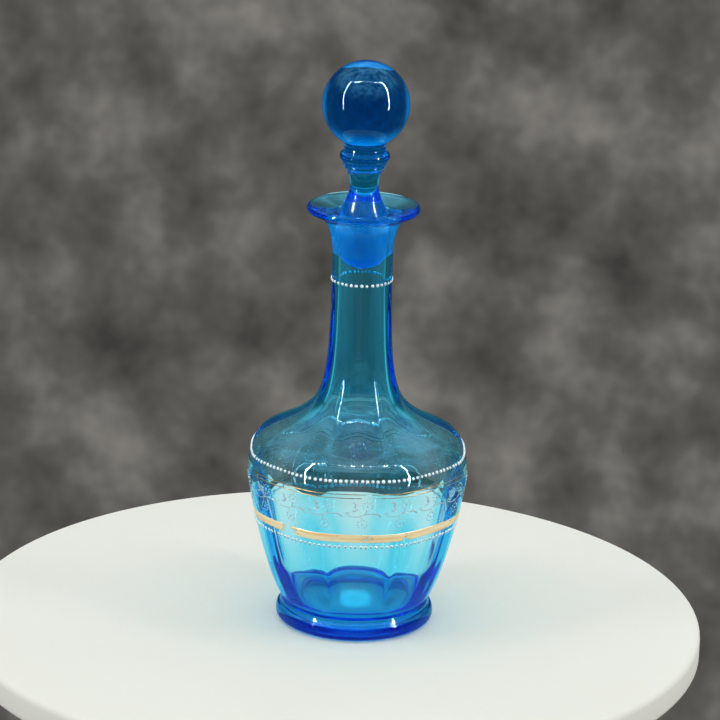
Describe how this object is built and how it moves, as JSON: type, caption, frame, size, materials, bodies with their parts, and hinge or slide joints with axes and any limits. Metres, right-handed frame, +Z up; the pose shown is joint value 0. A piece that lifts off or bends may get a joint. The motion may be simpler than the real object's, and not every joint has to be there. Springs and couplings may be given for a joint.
{
  "type": "glass decanter with stopper",
  "caption": "Panelled blown glass decanter on an applied foot ring, with a flared lip, gilt bands and a lift-out ball stopper.",
  "frame": {"origin": "on the table, at the centre of the foot ring", "axes": "+Z up along the bottle's axis; the middle of one moulded panel faces -Y, the front"},
  "size_m": [0.101, 0.101, 0.2619],
  "materials": {
    "blue_glass": "fire polished, transparent turquoise blue",
    "foot_glass": "fire polished, deep blue where it is thick",
    "stopper_glass": "fire polished, satin on the ground plug",
    "gilding": "burnished gold leaf, worn"
  },
  "bodies": {
    "bottle": {"bottle_body": "blue_glass", "applied_foot": "foot_glass", "gilt_band": "gilding", "gilt_line_lower": "gilding", "gilt_line_upper": "gilding"},
    "stopper": {"stopper_stem": "stopper_glass", "stopper_ball": "stopper_glass"}
  },
  "joints": [
    {"name": "stopper_lift", "type": "slide", "parent": "bottle", "child": "stopper", "axis": [0, 0, 1], "range_m": [0, 0.045]}
  ]
}
